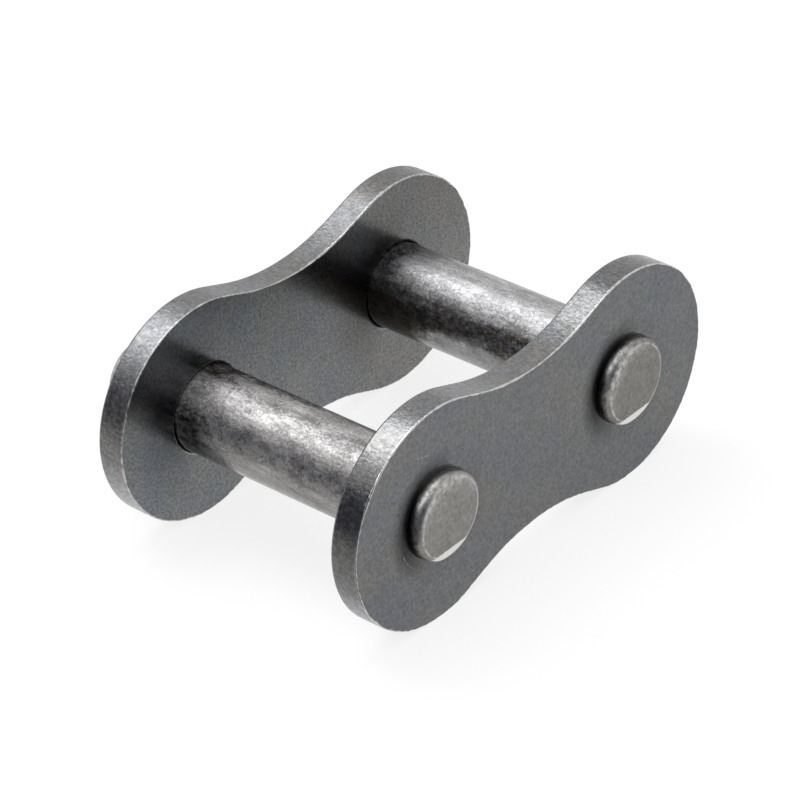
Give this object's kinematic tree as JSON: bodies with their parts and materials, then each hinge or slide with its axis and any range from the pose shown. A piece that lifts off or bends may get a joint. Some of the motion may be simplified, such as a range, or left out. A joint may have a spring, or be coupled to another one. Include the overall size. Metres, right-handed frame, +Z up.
{
  "type": "roller chain connecting link",
  "caption": "Roller-chain connecting link: waisted side plates on parallel pins, with a loose plate kept on by a flat spring clip.",
  "frame": {"origin": "on the pitch line, midway between the pin axes and midway between the side plates", "axes": "+X along the chain, +Y along the pins towards their free ends, +Z up through the depth of the plates"},
  "size_m": [0.0586, 0.0448, 0.026],
  "materials": {
    "plate_steel": "dark, blued and tumbled",
    "pin_steel": "dark, ground and hardened",
    "clip_steel": "blued spring steel"
  },
  "bodies": {
    "pinned_half": {"fixed_plate": "plate_steel", "left_pin": "pin_steel", "right_pin": "pin_steel", "spring_clip": "clip_steel"},
    "loose_half": {"loose_plate": "plate_steel"}
  },
  "joints": [
    {"name": "loose_plate_slide", "type": "slide", "parent": "pinned_half", "child": "loose_half", "axis": [0, -1, 0], "range_m": [0, 0.0292]}
  ]
}
